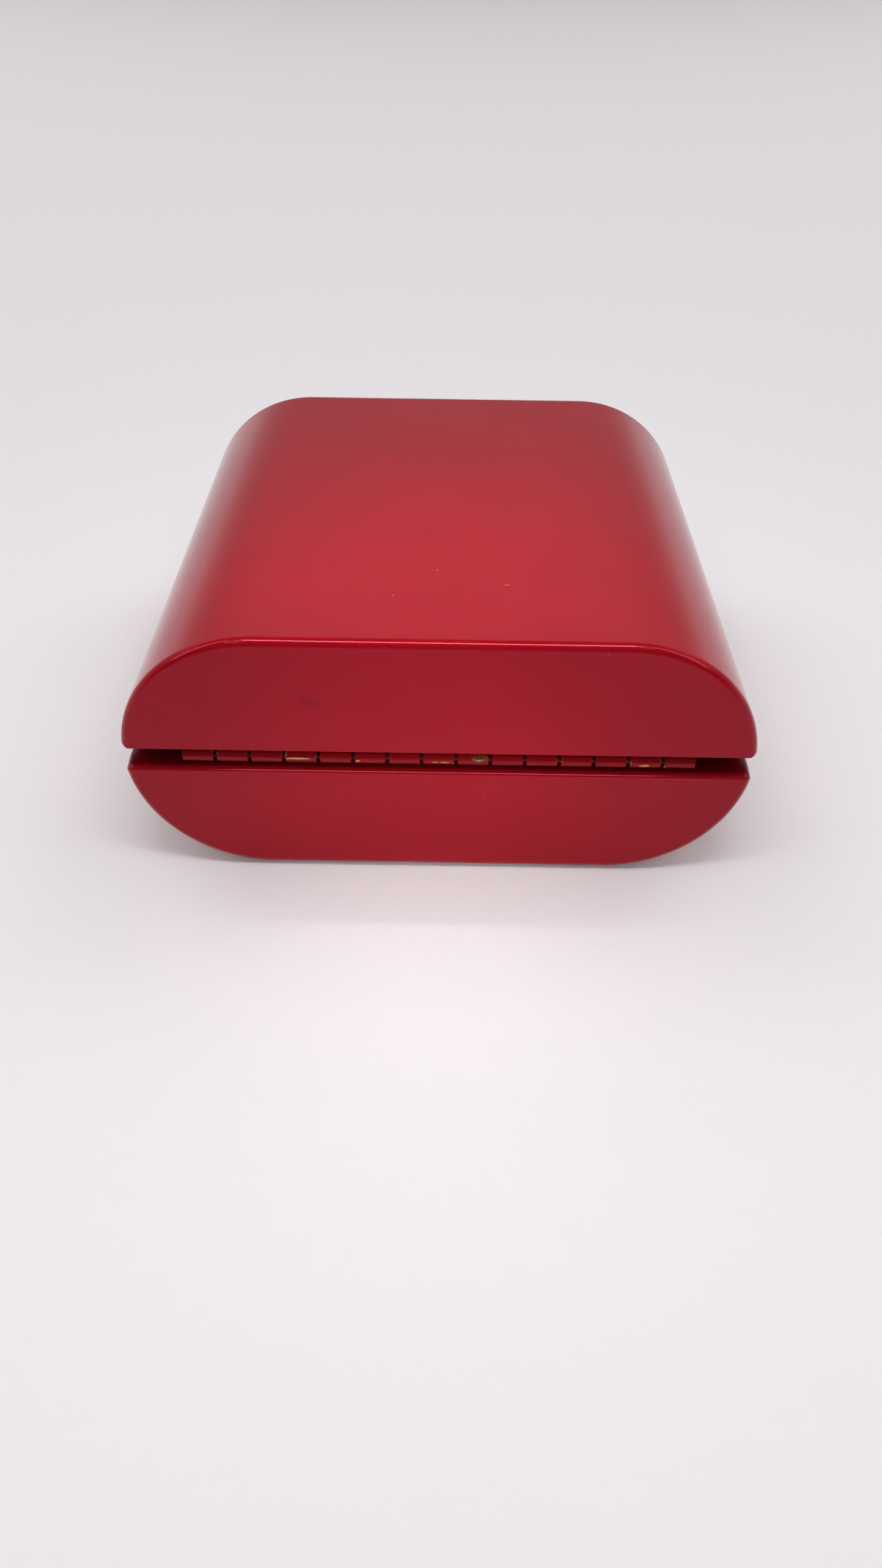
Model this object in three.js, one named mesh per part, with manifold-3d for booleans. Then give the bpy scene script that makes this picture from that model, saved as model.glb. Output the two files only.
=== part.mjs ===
// Lacquered keepsake box: a loaf with full-round sides, sawn through the middle into a base and a lid
// that turn on a piano hinge set in a groove along the back.
// Millimetres. X runs across the box, the hinge side is +Y, Z is up, and the box stands on z = 0.

import * as THREE from "three";
import { mergeVertices } from "three/addons/utils/BufferGeometryUtils.js";
import Module from "manifold-3d";

const wasm = await Module();
wasm.setup();

// Wooden case
const caseWidth = 114;
const caseDepth = 108;
const caseHeight = 51;
const shellWall = 8;
const frontPanelThickness = 10;
const backLipThickness = 2.6; // wood between the hinge rebate and the inside
const plugDepth = 3; // how far an end panel's plug reaches into the shell
const glueGap = 0.1; // between pieces that are glued or screwed together
const seamGap = 0.3; // between the closed rims
const edgeRound = 1.3; // outer edges of the two end faces
const rimRound = 2; // outer edges of the rims along the sides

// Piano hinge
const knucklePitch = 6.2;
const knuckleGap = 0.6;
const knuckleDiameter = 2.6;
const leafThickness = 0.6;
const leafWidth = 8; // from the pin's axis to the leaf's free edge
const leafEndClearance = 0.5; // from the leaf's free edge to the rebate's wall
const hingeEndMargin = 9; // least bare rim beyond each end of the hinge
const knuckleClearance = 0.3; // round a turning knuckle
const pinClearance = 0.1;
const pinSetback = 0.3; // of the pin's ends inside the outer knuckles
const pinInset = 1.9; // from the back face to the pin's axis
const grooveMouth = 4.5; // height of the open groove at the back face
const grooveEase = 0.5; // softened edges of the groove's mouth

// Hinge screws
const screwCount = 4;
const screwShankDiameter = 1.3;
const screwLength = 8;
const screwTipLength = 1.5;
const screwClearance = 0.15;
const screwSlotWidth = 0.4;
const screwSlotDepth = 0.25;

// Catch magnets
const magnetDiameter = 6;
const magnetThickness = 3;
const magnetSpacing = 60;
const magnetSink = 0.1; // of the magnet's face below the rim
const magnetClearance = 0.15;

// Lining, pads and felt
const liningThickness = 1.2;
const liningGap = 0.2;
const basePadSideMargin = 5; // from a pad's side to the lining's widest line
const lidPadSideMargin = 10;
const padEndMargin = 1.5;
const padEdgeDepth = 1.6;
const padDrawIn = 1.2; // how far a pad's sides pull in between its corners
const padSeat = 0.3;
const basePadThickness = 8;
const lidPadThickness = 5;
const feltThickness = 1;
const feltProud = 0.4;
const feltMargin = 3;
const feltCornerRadius = 5;

// Smoothness
const sideSteps = 18;
const filletSteps = 5;
const knuckleSteps = 9;
const boreSteps = 14;
const roundSteps = 24;

// Derived places
const sideRadius = (caseHeight - seamGap) / 2; // full-round sides
const flatHalf = caseWidth / 2 - sideRadius;
const backFace = caseDepth / 2;
const knuckleRadius = knuckleDiameter / 2;
const boreRadius = knuckleRadius - leafThickness;
const pinRadius = boreRadius - pinClearance;
const pinY = backFace - pinInset;
const rebateDepth = pinInset + leafWidth + leafEndClearance;
const leafSeat = knuckleRadius + glueGap; // height of the leaf's seat above the seam plane
const seatEdge = pinY - knuckleRadius - knuckleClearance; // where the seat ends and the groove's slope starts
const grooveSlope = (grooveMouth / 2 - leafSeat) / (backFace - seatEdge);
const backPanelThickness = rebateDepth + backLipThickness;
const shellFront = -backFace + frontPanelThickness;
const shellBack = backFace - backPanelThickness;
const cavityFront = shellFront + plugDepth;
const cavityBack = shellBack - plugDepth;
const cavityRadius = sideRadius - shellWall;
const liningRadius = cavityRadius - liningGap - liningThickness;
const rim = seamGap / 2;
const seamZ = feltProud + caseHeight / 2;
const knuckleFit = Math.floor((caseWidth - 2 * hingeEndMargin) / knucklePitch);
const knuckleCount = knuckleFit - 1 + (knuckleFit % 2); // odd, so that the base holds both ends
const hingeLength = knuckleCount * knucklePitch - knuckleGap;
const screwSpacing = hingeLength / screwCount;
const plateEdge = knuckleRadius + knuckleClearance; // from the pin's axis to a leaf between its knuckles
const screwY = pinY - (plateEdge + leafWidth) / 2;
const screwHeadRadius = screwShankDiameter / 2 + leafThickness; // a 90 degree countersink
const past = 1; // how far a cutter runs past what it cuts

// Materials
const lacquer = new THREE.MeshStandardMaterial({ color: 0x9c1420, roughness: 0.16 });
const paintedBrass = new THREE.MeshStandardMaterial({ color: 0x8a1a20, roughness: 0.35, metalness: 0.2 });
const brass = new THREE.MeshStandardMaterial({ color: 0xb08d45, roughness: 0.3, metalness: 1 });
const nickel = new THREE.MeshStandardMaterial({ color: 0xb9b9bc, roughness: 0.25, metalness: 1 });
const velvet = new THREE.MeshStandardMaterial({ color: 0x141416, roughness: 0.95 });
const felt = new THREE.MeshStandardMaterial({ color: 0x1b1b1d, roughness: 1 });

// Solids

function solid(geometry) {
  const bare = geometry.clone();
  bare.deleteAttribute("normal");
  bare.deleteAttribute("uv");
  const merged = mergeVertices(bare, 1e-4);
  return new wasm.Manifold(
    new wasm.Mesh({
      numProp: 3,
      vertProperties: new Float32Array(merged.attributes.position.array),
      triVerts: new Uint32Array(merged.index.array),
    }),
  );
}

function piece(name, body, material) {
  const { vertProperties, triVerts } = body.getMesh();
  const geometry = new THREE.BufferGeometry();
  geometry.setAttribute("position", new THREE.BufferAttribute(vertProperties, 3));
  geometry.setIndex(new THREE.BufferAttribute(triVerts, 1));
  geometry.computeVertexNormals();
  const mesh = new THREE.Mesh(geometry, material);
  mesh.name = name;
  return mesh;
}

// A shape drawn in (x, z), run along Y: with rounded ends when endRound is given, climbing when slope is.
function alongY(shape, from, to, { endRound = 0, slope = 0 } = {}) {
  const geometry = new THREE.ExtrudeGeometry(shape, {
    depth: to - from - 2 * endRound,
    bevelEnabled: endRound > 0,
    bevelThickness: endRound,
    bevelSize: endRound,
    bevelOffset: -endRound,
    bevelSegments: filletSteps,
  });
  geometry.rotateX(Math.PI / 2).translate(0, to - from - endRound, 0);
  geometry.applyMatrix4(new THREE.Matrix4().makeShear(0, 0, 0, slope, 0, 0));
  return solid(geometry.translate(0, from, 0));
}

// A shape drawn in (y, z), run along X.
function alongX(shape, from, to) {
  const geometry = new THREE.ExtrudeGeometry(shape, { depth: to - from, bevelEnabled: false });
  const turn = new THREE.Matrix4().makeBasis(
    new THREE.Vector3(0, 1, 0),
    new THREE.Vector3(0, 0, 1),
    new THREE.Vector3(1, 0, 0),
  );
  return solid(geometry.applyMatrix4(turn).translate(from, 0, 0));
}

function block(x0, x1, y0, y1, z0, z1) {
  const geometry = new THREE.BoxGeometry(x1 - x0, y1 - y0, z1 - z0);
  return solid(geometry.translate((x0 + x1) / 2, (y0 + y1) / 2, (z0 + z1) / 2));
}

// A profile of [radius, z] points from the axis to the axis, upwards, turned about a vertical axis.
function turned(profile, steps, x, y) {
  const points = profile.map(([radius, z]) => new THREE.Vector2(radius, z));
  return solid(new THREE.LatheGeometry(points, steps).rotateX(Math.PI / 2).translate(x, y, 0));
}

function disc(radius, z0, z1, x, y) {
  const profile = [
    [0, z0],
    [radius, z0],
    [radius, z1],
    [0, z1],
  ];
  return turned(profile, roundSteps, x, y);
}

function arc(x, z, radius, from, to, steps) {
  return Array.from({ length: steps + 1 }, (_, i) => {
    const angle = from + ((to - from) * i) / steps;
    return new THREE.Vector2(x + radius * Math.cos(angle), z + radius * Math.sin(angle));
  });
}

// Upper half of a full-round section standing on z = foot, its lower corners rounded by cornerRound.
function halfSection(radius, foot, cornerRound = 0) {
  const reach = Math.sqrt((radius - cornerRound) ** 2 - cornerRound ** 2);
  const lean = Math.atan2(cornerRound, reach);
  const corner = cornerRound
    ? arc(flatHalf + reach, foot + cornerRound, cornerRound, -Math.PI / 2, lean, filletSteps)
    : [new THREE.Vector2(flatHalf + radius, foot)];
  const right = [...corner, ...arc(flatHalf, foot, radius, lean, Math.PI / 2, sideSteps).slice(1)];
  const left = right.map((p) => new THREE.Vector2(-p.x, p.y)).reverse();
  return new THREE.Shape([...right, ...left]);
}

// The same section without rounded corners, run down past the rim so that it cuts a half open.
function hollowSection(radius) {
  const right = [
    new THREE.Vector2(flatHalf + radius, rim - past),
    ...arc(flatHalf, rim, radius, 0, Math.PI / 2, sideSteps),
  ];
  const left = right.map((p) => new THREE.Vector2(-p.x, p.y)).reverse();
  return new THREE.Shape([...right, ...left]);
}

// Wooden half case, drawn as the lid: the rim at z = rim above the seam plane, the crown above it.

const loafSection = halfSection(sideRadius, rim, rimRound);
const halfLoaf = alongY(loafSection, -backFace, backFace, { endRound: edgeRound });
const plugSection = halfSection(cavityRadius - glueGap, rim);

function loafSlice(from, to) {
  return halfLoaf.intersect(block(-caseWidth, caseWidth, from, to, -caseHeight, caseHeight));
}

function shell() {
  const hollow = alongY(hollowSection(cavityRadius), shellFront - past, shellBack + past);
  return loafSlice(shellFront, shellBack).subtract(hollow);
}

function frontPanel() {
  const face = loafSlice(-backFace - past, shellFront - glueGap);
  const plug = alongY(plugSection, shellFront - frontPanelThickness / 2, cavityFront);
  return magnetPlaces().reduce(
    (wood, x) =>
      wood.subtract(
        disc(
          magnetDiameter / 2 + magnetClearance,
          rim - past,
          rim + magnetSink + magnetThickness + magnetClearance,
          x,
          magnetY,
        ),
      ),
    face.add(plug),
  );
}

// The rebate that holds the hinge: a flat seat for the leaf, then a slope that opens to the groove's mouth.
function rebateCutter() {
  const mouth = grooveMouth / 2;
  const shape = new THREE.Shape();
  shape.moveTo(backFace + past, -past);
  shape.lineTo(backFace + past, mouth + grooveEase);
  shape.lineTo(backFace, mouth + grooveEase);
  shape.quadraticCurveTo(backFace, mouth, backFace - grooveEase, mouth - grooveSlope * grooveEase);
  shape.lineTo(seatEdge, leafSeat);
  shape.lineTo(backFace - rebateDepth, leafSeat);
  shape.lineTo(backFace - rebateDepth, -past);
  return alongX(shape, -caseWidth, caseWidth);
}

// What the rounding of the rebate's outer edge takes away on one side (+1 or -1) of the box.
function rebateEdgeWaste(side) {
  const rise = leafSeat + rimRound - rim;
  const reach = Math.sqrt((sideRadius - rimRound) ** 2 - rise ** 2);
  const lean = Math.atan2(rise, reach);
  const fillet = arc(flatHalf + reach, leafSeat + rimRound, rimRound, -Math.PI / 2, lean, filletSteps);
  const outside = caseWidth / 2 + past;
  const outline = [
    ...fillet,
    new THREE.Vector2(outside, fillet[filletSteps].y),
    new THREE.Vector2(outside, leafSeat - past),
    new THREE.Vector2(flatHalf + reach, leafSeat - past),
  ];
  return new THREE.Shape(outline.map((p) => new THREE.Vector2(side * p.x, p.y)));
}

function backPanel() {
  const face = loafSlice(shellBack + glueGap, backFace + past);
  const plug = alongY(plugSection, cavityBack, shellBack + backLipThickness / 2);
  let wood = face.add(plug).subtract(rebateCutter());
  for (const side of [-1, 1]) {
    const waste = rebateEdgeWaste(side);
    wood = wood.subtract(alongY(waste, backFace - rebateDepth, seatEdge));
    wood = wood.subtract(alongY(waste, seatEdge, backFace + past, { slope: grooveSlope }));
  }
  return screwPlaces().reduce((drilled, x) => drilled.subtract(screw(x, screwClearance)), wood);
}

// Hinge, drawn as the lid's leaf: the plate lies above the seam plane and the knuckles are centred on it.

function screwPlaces() {
  return Array.from({ length: screwCount }, (_, i) => (i - (screwCount - 1) / 2) * screwSpacing);
}

function leaf(firstKnuckle) {
  const knuckleEnd = hingeLength / 2;
  const plate = block(
    -knuckleEnd,
    knuckleEnd,
    pinY - leafWidth,
    pinY - plateEdge,
    boreRadius,
    knuckleRadius,
  );
  const curl = new THREE.Shape();
  curl.moveTo(pinY - plateEdge - leafThickness, boreRadius);
  curl.lineTo(pinY - Math.sqrt(knuckleRadius ** 2 - boreRadius ** 2), boreRadius);
  const start = Math.PI - Math.asin(boreRadius / knuckleRadius);
  curl.absarc(pinY, 0, knuckleRadius, start, 2 * Math.PI + Math.PI / 2, false);
  curl.lineTo(pinY - plateEdge - leafThickness, knuckleRadius);
  const rolled = new THREE.Shape(curl.getPoints(knuckleSteps));
  rolled.holes.push(new THREE.Path(arc(pinY, 0, boreRadius, 0, 2 * Math.PI, boreSteps).slice(1)));
  let body = plate;
  for (let i = firstKnuckle; i < knuckleCount; i += 2) {
    const x = i * knucklePitch - knuckleEnd;
    body = body.add(alongX(rolled, x, x + knucklePitch - knuckleGap));
  }
  return screwPlaces().reduce((metal, x) => metal.subtract(screw(x, glueGap)), body);
}

// A countersunk screw that enters the wood upwards, grown by a clearance when it is used as a cutter.
function screw(x, grow = 0) {
  const shank = screwShankDiameter / 2 + grow;
  const head = screwHeadRadius + grow;
  const top = boreRadius + screwLength + grow;
  const profile = [
    [0, boreRadius - (grow ? past : 0)],
    [head, boreRadius - (grow ? past : 0)],
    [head, boreRadius],
    [shank, boreRadius + leafThickness],
    [shank, top - screwTipLength],
    [0, top],
  ];
  return turned(grow ? profile : [profile[0], ...profile.slice(2)], boreSteps, x, screwY);
}

function slottedScrew(x) {
  const slot = block(
    x - screwHeadRadius - past,
    x + screwHeadRadius + past,
    screwY - screwSlotWidth / 2,
    screwY + screwSlotWidth / 2,
    boreRadius - past,
    boreRadius + screwSlotDepth,
  );
  return screw(x).subtract(slot);
}

function hingePin() {
  const half = hingeLength / 2 - pinSetback;
  const section = new THREE.Shape(arc(pinY, 0, pinRadius, 0, 2 * Math.PI, boreSteps).slice(1));
  return alongX(section, -half, half);
}

// Catch magnets in the front rim

const magnetY = -backFace + frontPanelThickness / 2;

function magnetPlaces() {
  return [-magnetSpacing / 2, magnetSpacing / 2];
}

// Lining: one bent sheet round the shell's inside and a flat one on each end.

function bentLining() {
  const front = cavityFront + 2 * liningGap + liningThickness;
  const back = cavityBack - 2 * liningGap - liningThickness;
  const outer = alongY(halfSection(cavityRadius - liningGap, rim), front, back);
  return outer.subtract(alongY(hollowSection(liningRadius), front - past, back + past));
}

function endLining(from) {
  return alongY(halfSection(cavityRadius - liningGap, rim), from, from + liningThickness);
}

// A pad glued under the crown's lining: its back follows the lining and its face swells towards the seam.
function pad(thickness, sideMargin) {
  const across = 18;
  const along = 14;
  const halfWidth = flatHalf + liningRadius - sideMargin;
  const halfLength = (cavityBack - cavityFront) / 2 - 2 * liningGap - liningThickness - padEndMargin;
  const middle = (cavityBack + cavityFront) / 2;
  const backHeight = (x) => {
    const round = Math.max(0, Math.abs(x) - flatHalf);
    return rim + Math.sqrt(liningRadius ** 2 - round ** 2) - padSeat;
  };
  const edge = backHeight(halfWidth) - padEdgeDepth;
  const swell = backHeight(0) - thickness;
  const place = (u, v) => [
    u * (halfWidth - padDrawIn * (1 - v * v)),
    middle + v * (halfLength - padDrawIn * (1 - u * u)),
  ];
  const back = (u, v) => {
    const [x, y] = place(u, v);
    return [x, y, backHeight(x)];
  };
  const face = (u, v) => {
    const [x, y] = place(u, v);
    const crown = (1 - u ** 4) * (1 - v ** 4);
    return [x, y, edge + (swell - edge) * crown];
  };
  return solid(padSurface(face, back, across, along));
}

// Closed surface between two sheets over the square u, v = -1 to 1, joined round their edges.
function padSurface(lower, upper, across, along) {
  const points = [];
  const faces = [];
  const at = (i, j) => [(2 * i) / across - 1, (2 * j) / along - 1];
  const index = (sheet, i, j) => (sheet * (along + 1) + j) * (across + 1) + i;
  for (const sheet of [lower, upper])
    for (let j = 0; j <= along; j++)
      for (let i = 0; i <= across; i++) points.push(...sheet(...at(i, j)));
  const quad = (a, b, c, d) => faces.push(a, b, c, a, c, d);
  for (let j = 0; j < along; j++)
    for (let i = 0; i < across; i++) {
      quad(index(0, i, j), index(0, i, j + 1), index(0, i + 1, j + 1), index(0, i + 1, j));
      quad(index(1, i, j), index(1, i + 1, j), index(1, i + 1, j + 1), index(1, i, j + 1));
    }
  for (let i = 0; i < across; i++) {
    quad(index(0, i, 0), index(0, i + 1, 0), index(1, i + 1, 0), index(1, i, 0));
    quad(index(0, i + 1, along), index(0, i, along), index(1, i, along), index(1, i + 1, along));
  }
  for (let j = 0; j < along; j++) {
    quad(index(0, 0, j + 1), index(0, 0, j), index(1, 0, j), index(1, 0, j + 1));
    quad(index(0, across, j), index(0, across, j + 1), index(1, across, j + 1), index(1, across, j));
  }
  const geometry = new THREE.BufferGeometry();
  geometry.setAttribute("position", new THREE.Float32BufferAttribute(points, 3));
  return geometry.setIndex(faces);
}

// Felt sheet let into the underside, and the recess that takes it (drawn on the crown, as on the lid).
function feltSheet(z0, z1, grow = 0) {
  const halfWidth = flatHalf - feltMargin + grow;
  const halfLength = (shellBack - shellFront) / 2 - feltMargin + grow;
  const radius = feltCornerRadius + grow;
  const corner = (sx, sy, from) =>
    arc(sx * (halfWidth - radius), sy * (halfLength - radius), radius, from, from + Math.PI / 2, filletSteps);
  const outline = new THREE.Shape([
    ...corner(1, 1, 0),
    ...corner(-1, 1, Math.PI / 2),
    ...corner(-1, -1, Math.PI),
    ...corner(1, -1, 1.5 * Math.PI),
  ]);
  const geometry = new THREE.ExtrudeGeometry(outline, { depth: z1 - z0, bevelEnabled: false });
  return solid(geometry.translate(0, (shellBack + shellFront) / 2, z0));
}

// One half of the box with all that is fixed to it.
function halfBox(name, shellName, wood, firstKnuckle, padBody) {
  const half = new THREE.Group();
  half.add(piece(shellName, wood, lacquer));
  half.add(piece(`${name}_front_panel`, frontPanel(), lacquer));
  half.add(piece(`${name}_back_panel`, backPanel(), lacquer));
  half.add(piece(`hinge_${name}_leaf`, leaf(firstKnuckle), paintedBrass));
  screwPlaces().forEach((x, i) => half.add(piece(`hinge_${name}_screw_${i + 1}`, slottedScrew(x), brass)));
  magnetPlaces().forEach((x, i) => {
    const magnet = disc(magnetDiameter / 2, rim + magnetSink, rim + magnetSink + magnetThickness, x, magnetY);
    half.add(piece(`${name}_magnet_${i + 1}`, magnet, nickel));
  });
  half.add(piece(`${name}_lining`, bentLining(), velvet));
  half.add(piece(`${name}_lining_front`, endLining(cavityFront + liningGap), velvet));
  half.add(piece(`${name}_lining_back`, endLining(cavityBack - liningGap - liningThickness), velvet));
  half.add(piece(`${name}_pad`, padBody, velvet));
  return half;
}

const crownTop = rim + sideRadius;
const feltInner = crownTop + feltProud - feltThickness;

const lid = halfBox("lid", "lid_crown", shell(), 1, pad(lidPadThickness, lidPadSideMargin));
lid.position.z = seamZ;

const feltRecess = feltSheet(feltInner - glueGap, crownTop + past, glueGap);
const basePad = pad(basePadThickness, basePadSideMargin);
const base = halfBox("base", "base_trough", shell().subtract(feltRecess), 0, basePad);
base.add(piece("base_felt", feltSheet(feltInner, crownTop + feltProud), felt));
base.rotation.y = Math.PI;
base.position.z = seamZ;

const pin = piece("hinge_pin", hingePin(), brass);
pin.position.z = seamZ;

const box = new THREE.Group();
box.add(lid, base, pin);

export default box;
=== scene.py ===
"""A small red lacquered keepsake box: lacquer, worn piano hinge, velvet inside, felt below.

Metres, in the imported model's frame: X across the box, the hinge side at +Y, Z up, standing on z = 0.
"""

import math

import bmesh
import bpy
from mathutils import Euler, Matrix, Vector


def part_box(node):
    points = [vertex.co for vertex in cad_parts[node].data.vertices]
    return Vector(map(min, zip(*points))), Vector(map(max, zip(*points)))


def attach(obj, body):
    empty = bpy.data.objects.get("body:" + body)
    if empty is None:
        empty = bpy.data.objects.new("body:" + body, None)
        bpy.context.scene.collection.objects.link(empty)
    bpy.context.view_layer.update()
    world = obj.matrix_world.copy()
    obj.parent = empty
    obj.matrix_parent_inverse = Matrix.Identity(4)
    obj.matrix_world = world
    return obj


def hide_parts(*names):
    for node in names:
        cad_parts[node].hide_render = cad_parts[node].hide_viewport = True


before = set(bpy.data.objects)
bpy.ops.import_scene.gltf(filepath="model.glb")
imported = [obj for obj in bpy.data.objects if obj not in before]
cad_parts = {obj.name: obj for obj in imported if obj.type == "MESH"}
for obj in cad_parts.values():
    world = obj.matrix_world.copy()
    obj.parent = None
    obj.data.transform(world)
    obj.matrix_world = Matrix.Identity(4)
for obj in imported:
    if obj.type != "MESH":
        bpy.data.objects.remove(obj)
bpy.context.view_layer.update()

MM = 0.001

# Roundings and clearances of the wood
EDGE_ROUND = 1.5 * MM
RIM_ROUND = 2.0 * MM
GROOVE_MOUTH = 4.5 * MM
LID_CORNER = 2.0 * MM  # round where the groove runs out at the sides
BASE_CORNER = 1.5 * MM
GROOVE_EASE = 0.5 * MM
EDGE_SOFTNESS = 0.25 * MM
GLUE_GAP = 0.1 * MM
KNUCKLE_CLEARANCE = 0.3 * MM
LEAF_END_CLEARANCE = 0.5 * MM
MAGNET_CLEARANCE = 0.15 * MM
SCREW_CLEARANCE = 0.15 * MM
LINING_GAP = 0.2 * MM
PAST = 1.0 * MM  # how far a cutter runs past what it cuts

# Hinge and catch
KNUCKLE_COUNT = 15
KNUCKLE_GAP = 0.6 * MM
LEAF_THICKNESS = 0.6 * MM
LEAF_SOFTNESS = 0.18 * MM
CURL = 288  # degrees that a knuckle is rolled round the pin
SCREWS_IN_LEAF = 4
SCREW_SHANK_RADIUS = 0.65 * MM
SCREW_HEAD_DEPTH = LEAF_THICKNESS
SCREW_HEAD_LAND = 0.08 * MM
SCREW_HEAD_SOFTNESS = 0.05 * MM
SCREW_HEAD_CLEARANCE = 0.05 * MM
SCREW_NECK = 0.6 * MM
SCREW_TIP = 1.5 * MM
SCREW_SLOT_LENGTH = 4.0 * MM
SCREW_SLOT_WIDTH = 0.4 * MM
SCREW_SLOT_DEPTH = 0.25 * MM
COUNTERSINK_DEPTH = SCREW_HEAD_DEPTH - 0.1 * MM
THREAD_PITCH = 0.45 * MM
THREAD_DEPTH = 0.14 * MM
MAGNETS_IN_RIM = 2
POST_RIM_ROUND = 0.3 * MM  # on the pin's ends and the magnets' rims

# Soft pieces
LINING_THICKNESS = 1.2 * MM
LINING_EDGE = 0.35 * MM
FELT_CORNER = 5.0 * MM
FELT_EDGE = 0.2 * MM

# Smoothness
SIDE_STEPS = 44
ROUND_STEPS = 7
CURL_STEPS = 24
DISC_STEPS = 48
SCREW_STEPS = 32
HOLE_STEPS = 16
POST_RIM_STEPS = 4
EDGE_STEPS = 2
FINE_EDGE_STEPS = 3

# Angles between two faces, in degrees
SHARP = 40  # past this an edge is softened
SHARP_ON_CLOTH = 60
SHARP_ON_SCREWS = 70
SMOOTH = 35  # up to this they are shaded as one
IN_PLANE = 1  # up to this they count as one plane
NORMAL_WEIGHT = 50  # how far large faces lead the shading, 50 for by their area alone

# Nearness of points
ON_LINE = 0.01 * MM  # nearer than this counts as on a line or plane
SAME_POINT = 0.001 * MM

# Places read from the frame
lid_low, lid_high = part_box("lid_crown")
base_low, base_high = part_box("base_trough")
back_panel_low, back_panel_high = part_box("lid_back_panel")
front_panel_low, front_panel_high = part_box("lid_front_panel")
pin_low, pin_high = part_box("hinge_pin")
leaf_low, leaf_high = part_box("hinge_lid_leaf")
base_leaf_low, base_leaf_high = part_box("hinge_base_leaf")
lining_low, lining_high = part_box("lid_lining")
felt_low, felt_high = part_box("base_felt")

SEAM = (lid_low.z + base_high.z) / 2
RIM = lid_low.z - SEAM
BACK = back_panel_high.y
FRONT = front_panel_low.y
SIDE_RADIUS = lid_high.z - lid_low.z
SIDE_REACH = math.sqrt((SIDE_RADIUS - RIM_ROUND) ** 2 - RIM_ROUND**2)
FLAT_HALF = lid_high.x - RIM_ROUND - SIDE_REACH
CAVITY_FRONT = front_panel_high.y
CAVITY_BACK = back_panel_low.y
LINING_RADIUS = lining_high.z - lid_low.z
CAVITY_RADIUS = LINING_RADIUS + LINING_GAP
PIN_Y = (pin_low.y + pin_high.y) / 2
KNUCKLE_RADIUS = (leaf_high.z - leaf_low.z) / 2
HINGE_HALF = base_leaf_high.x
KNUCKLE_PITCH = (2 * HINGE_HALF + KNUCKLE_GAP) / KNUCKLE_COUNT
LEAF_FACE = KNUCKLE_RADIUS - LEAF_THICKNESS  # a leaf's inner face, from the seam
LEAF_SEAT = KNUCKLE_RADIUS + GLUE_GAP
LEAF_EDGE = leaf_low.y
REBATE_WALL = LEAF_EDGE - LEAF_END_CLEARANCE
SEAT_EDGE = PIN_Y - KNUCKLE_RADIUS - KNUCKLE_CLEARANCE
GROOVE_SLOPE = (GROOVE_MOUTH / 2 - LEAF_SEAT) / (BACK - SEAT_EDGE)


# Modelling steps

def start_point(name, place):
    """A new object of a single point, in edit mode, ready to be drawn out."""
    bpy.ops.object.select_all(action="DESELECT")
    bpy.ops.mesh.primitive_plane_add(size=MM)
    piece = bpy.context.object
    piece.name = name
    bpy.ops.object.mode_set(mode="EDIT")
    bpy.ops.mesh.select_mode(type="VERT")
    bpy.ops.mesh.select_all(action="SELECT")
    bpy.ops.mesh.merge(type="CENTER")
    bpy.ops.transform.translate(value=place)
    return piece


def flat_sheet(name, width, length, middle):
    """A flat rectangle, in edit mode with all of it selected."""
    bpy.ops.object.select_all(action="DESELECT")
    bpy.ops.mesh.primitive_plane_add(size=1)
    piece = bpy.context.object
    piece.name = name
    bpy.ops.object.mode_set(mode="EDIT")
    bpy.ops.mesh.select_all(action="SELECT")
    bpy.ops.transform.resize(value=(width, length, 1))
    bpy.ops.transform.translate(value=middle)
    return piece


def draw(x=0.0, y=0.0, z=0.0):
    """Draw what is selected out by a step."""
    bpy.ops.mesh.extrude_region_move(TRANSFORM_OT_translate={"value": (x, y, z)})


def sweep(centre, axis, degrees, steps):
    """Draw what is selected out round an axis, right-handed."""
    bpy.ops.mesh.spin(steps=steps, angle=-math.radians(degrees), center=centre, axis=axis)


def merge_points():
    bpy.ops.mesh.select_all(action="SELECT")
    bpy.ops.mesh.remove_doubles(threshold=SAME_POINT)


def fill_outline():
    merge_points()
    bpy.ops.mesh.edge_face_add()


def close_solid():
    merge_points()
    bpy.ops.mesh.normals_make_consistent(inside=False)


def turn_outwards(up, outermost):
    """Point an open surface's normals away from the seam, judged on its outermost face."""
    bpy.ops.mesh.normals_make_consistent(inside=False)
    shape = bmesh.from_edit_mesh(bpy.context.object.data)
    judged = max(shape.faces, key=lambda face: outermost(face.calc_center_median()))
    if judged.normal.z * up < 0:
        bpy.ops.mesh.flip_normals()


def pick_edges(chosen):
    """Select the edges whose two ends and middle all pass a test."""
    bpy.ops.mesh.select_mode(type="EDGE")
    bpy.ops.mesh.select_all(action="DESELECT")
    mesh = bpy.context.object.data
    shape = bmesh.from_edit_mesh(mesh)
    for edge in shape.edges:
        a, b = (point.co for point in edge.verts)
        if chosen(a) and chosen(b) and chosen((a + b) / 2):
            edge.select_set(True)
    bmesh.update_edit_mesh(mesh)


def picked_point():
    """Place of the one selected point."""
    shape = bmesh.from_edit_mesh(bpy.context.object.data)
    return next(point.co.copy() for point in shape.verts if point.select)


def make_active(piece):
    bpy.ops.object.select_all(action="DESELECT")
    piece.select_set(True)
    bpy.context.view_layer.objects.active = piece


def edit_all(piece):
    """Open a piece in edit mode with all of it selected."""
    make_active(piece)
    bpy.ops.object.mode_set(mode="EDIT")
    bpy.ops.mesh.select_all(action="SELECT")


def leave_edit():
    bpy.ops.object.mode_set(mode="OBJECT")


def shift(piece, step):
    """Move a piece's mesh, leaving the object at the origin."""
    edit_all(piece)
    bpy.ops.transform.translate(value=step)
    leave_edit()


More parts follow.
